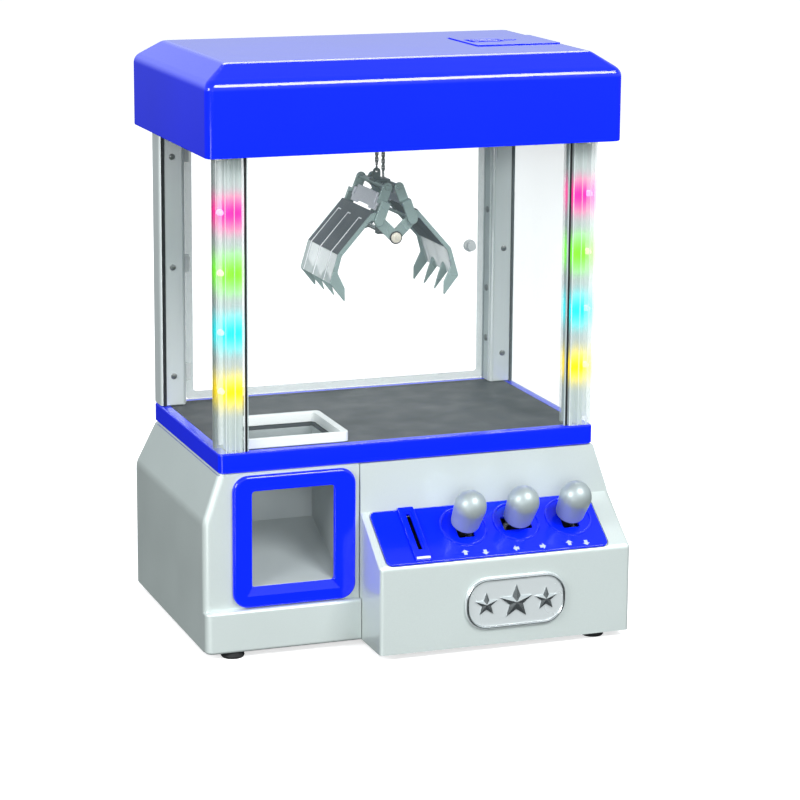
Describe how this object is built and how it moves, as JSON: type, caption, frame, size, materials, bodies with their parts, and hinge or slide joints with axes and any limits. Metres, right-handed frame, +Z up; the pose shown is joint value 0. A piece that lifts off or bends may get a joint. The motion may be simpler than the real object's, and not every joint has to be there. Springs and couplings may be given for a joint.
{
  "type": "claw crane machine",
  "caption": "Tabletop toy claw crane: glazed cabinet on a silver console with levers, coin slot and prize opening, and a two-jaw claw on chains under a blue canopy.",
  "frame": {"origin": "on the floor, under the middle of the whole toy's box", "axes": "+X to the operator's right, +Y to the back, +Z up"},
  "size_m": [0.268, 0.2064, 0.3683],
  "materials": {
    "blue_gloss": "glossy royal blue ABS",
    "silver_satin": "satin silver-grey painted ABS",
    "silver_post": "satin silver moulding with fine vertical ribs",
    "grey_plastic": "light grey moulded plastic",
    "dark_floor": "dark grey moulded plastic, fine texture",
    "black_plastic": "black moulded plastic",
    "black_rubber": "matt black rubber",
    "clear_plastic": "clear polystyrene, polished",
    "claw_plastic": "grey-green metallic plastic",
    "claw_rivet": "cream moulded plastic",
    "knob_silver": "satin metallic silver paint",
    "chrome": "bright chrome plating",
    "steel": "bright steel",
    "board_green": "circuit board",
    "gear_white": "off-white acetal"
  },
  "bodies": {
    "cabinet": {"waist_frame": "blue_gloss", "prize_bezel": "blue_gloss", "control_panel": "blue_gloss", "coin_slot_bezel": "blue_gloss", "canopy_shell": "blue_gloss", "base_housing": "silver_satin", "console_housing": "silver_satin", "corner_post_front_left": "silver_post", "corner_post_front_right": "silver_post", "corner_post_back_left": "silver_post", "corner_post_back_right": "silver_post", "chute_collar": "grey_plastic", "prize_chute": "grey_plastic", "coin_chute": "grey_plastic", "lever_bracket": "grey_plastic", "gantry_rail_left": "grey_plastic", "gantry_rail_right": "grey_plastic", "play_floor": "dark_floor", "base_plate": "black_plastic", "speaker": "black_plastic", "battery_box": "black_plastic", "canopy_ceiling": "black_plastic", "foot_front_left": "black_rubber", "foot_front_right": "black_rubber", "foot_back_left": "black_rubber", "foot_back_right": "black_rubber", "post_lens_left": "clear_plastic", "post_lens_right": "clear_plastic", "window_front": "clear_plastic", "window_left": "clear_plastic", "window_right": "clear_plastic", "emblem_badge": "chrome", "circuit_board": "board_green", "led_strip_left": "board_green", "led_strip_right": "board_green"},
    "battery_door": {"battery_door": "blue_gloss"},
    "loading_door": {"loading_door": "clear_plastic"},
    "coin_drawer": {"coin_drawer": "grey_plastic"},
    "power_switch": {"power_switch": "black_plastic"},
    "coin_lever": {"coin_lever": "steel"},
    "lever_forward_back": {"lever_stem_forward_back": "black_plastic", "lever_knob_forward_back": "knob_silver"},
    "lever_left_right": {"lever_stem_left_right": "black_plastic", "lever_knob_left_right": "knob_silver"},
    "lever_up_down": {"lever_stem_up_down": "black_plastic", "lever_knob_up_down": "knob_silver"},
    "bridge": {"bridge_beam": "grey_plastic", "bridge_motor": "gear_white"},
    "bridge_axle": {"bridge_axle": "steel"},
    "trolley": {"trolley_housing": "grey_plastic", "winch_motor": "gear_white", "hoist_chain": "steel", "closing_chain": "steel"},
    "winch_drum": {"winch_drum": "gear_white"},
    "claw_head": {"claw_head": "claw_plastic"},
    "claw_pivot": {"claw_pivot": "claw_rivet"},
    "left_jaw": {"left_jaw": "claw_plastic"},
    "right_jaw": {"right_jaw": "claw_plastic"},
    "left_link": {"left_link": "claw_plastic"},
    "right_link": {"right_link": "claw_plastic"}
  },
  "joints": [
    {"name": "battery_door_slide", "type": "slide", "parent": "cabinet", "child": "battery_door", "axis": [1, 0, 0], "range_m": [0, 0.055]},
    {"name": "loading_door_hinge", "type": "hinge", "parent": "cabinet", "child": "loading_door", "pos_m": [-0.10515, 0.08715, 0.222], "axis": [0, 0, 1], "range_deg": [0, 115]},
    {"name": "coin_drawer_slide", "type": "slide", "parent": "cabinet", "child": "coin_drawer", "axis": [0, 1, 0], "range_m": [0, 0.06]},
    {"name": "power_switch_slide", "type": "slide", "parent": "cabinet", "child": "power_switch", "axis": [1, 0, 0], "range_m": [0, 0.0044]},
    {"name": "coin_lever_hinge", "type": "hinge", "parent": "cabinet", "child": "coin_lever", "pos_m": [-0.0108, -0.04555, 0.0655], "axis": [0, 0, 1], "range_deg": [0, 40], "stiffness_Nm_per_rad": 0.005},
    {"name": "lever_forward_back_hinge", "type": "hinge", "parent": "cabinet", "child": "lever_forward_back", "pos_m": [0.029, -0.07323, 0.0649], "axis": [1, 0, 0], "range_deg": [-15, 15], "stiffness_Nm_per_rad": 0.4},
    {"name": "lever_left_right_hinge", "type": "hinge", "parent": "cabinet", "child": "lever_left_right", "pos_m": [0.0644, -0.07323, 0.0649], "axis": [0, 0.8235, 0.5673], "range_deg": [-15, 15], "stiffness_Nm_per_rad": 0.4},
    {"name": "lever_up_down_hinge", "type": "hinge", "parent": "cabinet", "child": "lever_up_down", "pos_m": [0.0998, -0.07323, 0.0649], "axis": [1, 0, 0], "range_deg": [-15, 15], "stiffness_Nm_per_rad": 0.4},
    {"name": "bridge_slide", "type": "slide", "parent": "cabinet", "child": "bridge", "axis": [0, 1, 0], "range_m": [-0.03, 0.035]},
    {"name": "bridge_axle_spin", "type": "hinge", "parent": "bridge", "child": "bridge_axle", "pos_m": [0, 0.03245, 0.3283], "axis": [1, 0, 0], "range_deg": [-405, 350]},
    {"name": "trolley_slide", "type": "slide", "parent": "bridge", "child": "trolley", "axis": [1, 0, 0], "range_m": [-0.062, 0.054]},
    {"name": "winch_drum_spin", "type": "hinge", "parent": "trolley", "child": "winch_drum", "pos_m": [0.005, 0.01045, 0.3408], "axis": [0, 1, 0], "range_deg": [-900, 0]},
    {"name": "claw_hoist", "type": "slide", "parent": "trolley", "child": "claw_head", "axis": [0, 0, -1], "range_m": [0, 0.07], "deforming": ["hoist_chain", "closing_chain"]},
    {"name": "claw_close", "type": "slide", "parent": "claw_head", "child": "claw_pivot", "axis": [0, 0, 1], "range_m": [0, 0.0117], "deforming": ["closing_chain"]},
    {"name": "right_jaw_hinge", "type": "hinge", "parent": "claw_pivot", "child": "right_jaw", "pos_m": [0.005, 0.01045, 0.25], "axis": [0, 1, 0], "range_deg": [0, 39]},
    {"name": "left_jaw_hinge", "type": "hinge", "parent": "claw_pivot", "child": "left_jaw", "pos_m": [0.005, 0.01045, 0.25], "axis": [0, 1, 0], "range_deg": [-39, 0]},
    {"name": "right_link_hinge", "type": "hinge", "parent": "claw_head", "child": "right_link", "pos_m": [0.009, 0.01045, 0.281], "axis": [0, 1, 0], "range_deg": [-15.6, 0]},
    {"name": "left_link_hinge", "type": "hinge", "parent": "claw_head", "child": "left_link", "pos_m": [0.001, 0.01045, 0.281], "axis": [0, 1, 0], "range_deg": [0, 15.6]}
  ],
  "couplings": [
    {"joint": "bridge_axle_spin", "follows": "bridge_slide", "rad_per_m": -200},
    {"joint": "winch_drum_spin", "follows": "claw_hoist", "rad_per_m": -222},
    {"joint": "right_jaw_hinge", "follows": "claw_close", "rad_per_m": 57.26},
    {"joint": "left_jaw_hinge", "follows": "claw_close", "rad_per_m": -57.26},
    {"joint": "right_link_hinge", "follows": "claw_close", "rad_per_m": -22.65},
    {"joint": "left_link_hinge", "follows": "claw_close", "rad_per_m": 22.65}
  ]
}
